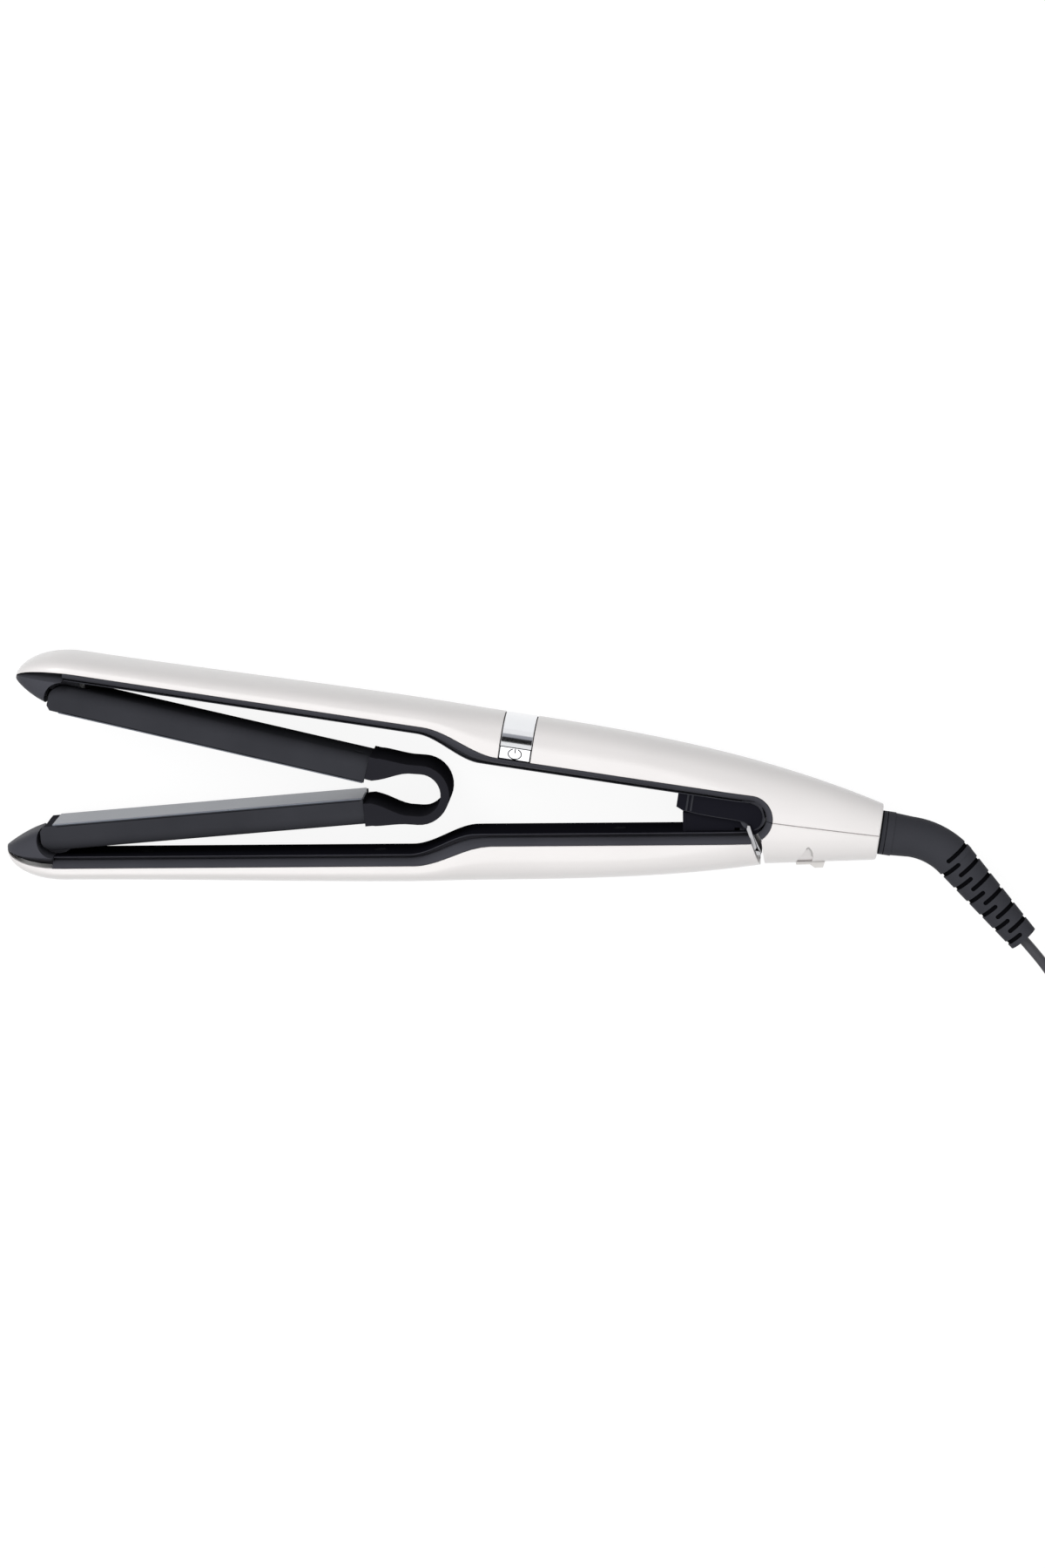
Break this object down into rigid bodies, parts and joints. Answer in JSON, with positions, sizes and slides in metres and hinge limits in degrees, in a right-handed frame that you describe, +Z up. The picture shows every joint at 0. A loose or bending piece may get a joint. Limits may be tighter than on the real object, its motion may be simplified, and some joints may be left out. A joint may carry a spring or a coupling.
{
  "type": "hair straightener",
  "caption": "Slim two-arm hair straightener, hinged near the cord, with heated smooth plates on pivoting carriers joined by a spring loop, and an angled strain relief.",
  "frame": {"origin": "centre of the outline seen from above, on the resting surface, with the cord, coil and plug left out", "axes": "+X from the tips towards the cord, +Z up from the resting surface and along the hinge pin, +Y from the closing plane towards the arm that carries the controls"},
  "size_m": [0.4612, 0.1261, 0.033],
  "materials": {
    "pearl_shell": "pearl gloss",
    "dark_trim": "satin",
    "black_plastic": "satin",
    "carrier_plastic": "satin",
    "chrome": "polished",
    "window": "gloss",
    "display": "matte",
    "circuit_board": "satin",
    "steel": "brushed",
    "black_steel": "black oxide",
    "wire": "satin",
    "plate": "satin ceramic coating",
    "heater": "matte ceramic",
    "lock_plastic": "pearl gloss",
    "cord": "satin",
    "brass": "nickel plated"
  },
  "bodies": {
    "body": {"upper_shell": "pearl_shell", "upper_trim": "dark_trim", "upper_tip_cap": "dark_trim", "rear_lower_shell": "pearl_shell", "rear_trim": "dark_trim", "upper_wire_shroud": "black_plastic", "chrome_band": "chrome", "display_window": "window", "display_module": "display", "circuit_board": "circuit_board", "board_components": "black_plastic", "tact_switches": "black_plastic", "hinge_pin": "steel", "opening_spring": "steel", "upper_case_screws": "black_steel", "upper_pivot_pin": "steel", "swivel_socket": "black_plastic", "upper_heater_leads": "wire", "mains_leads": "wire", "cord_run": "cord", "cord_coil": "cord", "cord_tail": "cord", "cord_tie": "black_plastic", "plug_body": "cord", "plug_pins": "brass"},
    "lower_arm": {"lower_shell": "pearl_shell", "lower_trim": "dark_trim", "lower_tip_cap": "dark_trim", "lower_wire_shroud": "black_plastic", "lower_case_screws": "black_steel", "lower_pivot_pin": "steel", "lower_heater_leads": "wire"},
    "upper_carrier": {"upper_carrier": "carrier_plastic", "upper_plate": "plate", "upper_heater": "heater", "upper_heater_clip": "steel", "thermal_fuse": "steel", "upper_thermistor": "heater", "upper_loop_screws": "black_steel", "flex_loop": "carrier_plastic"},
    "lower_carrier": {"lower_carrier": "carrier_plastic", "lower_plate": "plate", "lower_heater": "heater", "lower_heater_clip": "steel", "lower_thermistor": "heater", "lower_loop_screws": "black_steel"},
    "power_button": {"power_button": "chrome"},
    "temp_up_button": {"temp_up_button": "black_plastic"},
    "temp_down_button": {"temp_down_button": "black_plastic"},
    "lock_slider": {"lock_slider": "lock_plastic"},
    "cord_swivel": {"strain_relief": "dark_trim"}
  },
  "joints": [
    {"name": "arm_hinge", "type": "hinge", "parent": "body", "child": "lower_arm", "pos_m": [0.0764, 0.01765, 0.0165], "axis": [0, 0, -1], "range_deg": [0, 9.1], "stiffness_Nm_per_rad": 1.2, "springref_deg": -11.46},
    {"name": "upper_carrier_pivot", "type": "hinge", "parent": "body", "child": "upper_carrier", "pos_m": [-0.15825, 0.02265, 0.0165], "axis": [0, 0, 1], "range_deg": [0, 4.47]},
    {"name": "plate_flex", "type": "hinge", "parent": "upper_carrier", "child": "lower_carrier", "pos_m": [-0.04, 0.00839, 0.0165], "axis": [0, 0, -1], "range_deg": [0, 18.05], "deforming": ["flex_loop"]},
    {"name": "power_button_press", "type": "slide", "parent": "body", "child": "power_button", "axis": [0, 0, -1], "range_m": [0, 0.0007], "stiffness_N_per_m": 1500, "springref_m": -0.0004},
    {"name": "temp_up_press", "type": "slide", "parent": "body", "child": "temp_up_button", "axis": [0, 1, 0], "range_m": [0, 0.0006], "stiffness_N_per_m": 1500, "springref_m": -0.0004},
    {"name": "temp_down_press", "type": "slide", "parent": "body", "child": "temp_down_button", "axis": [0, 1, 0], "range_m": [0, 0.0006], "stiffness_N_per_m": 1500, "springref_m": -0.0004},
    {"name": "lock_slide", "type": "slide", "parent": "body", "child": "lock_slider", "axis": [-0.9845, -0.1754, 0], "range_m": [0, 0.004]},
    {"name": "cord_swivel_turn", "type": "hinge", "parent": "body", "child": "cord_swivel", "pos_m": [0.12, 0.01765, 0.0165], "axis": [-1, 0, 0], "continuous": true, "deforming": ["cord_run"]}
  ],
  "couplings": [
    {"joint": "upper_carrier_pivot", "follows": "arm_hinge", "ratio": 0.49154},
    {"joint": "plate_flex", "follows": "arm_hinge", "ratio": 1.9831}
  ]
}
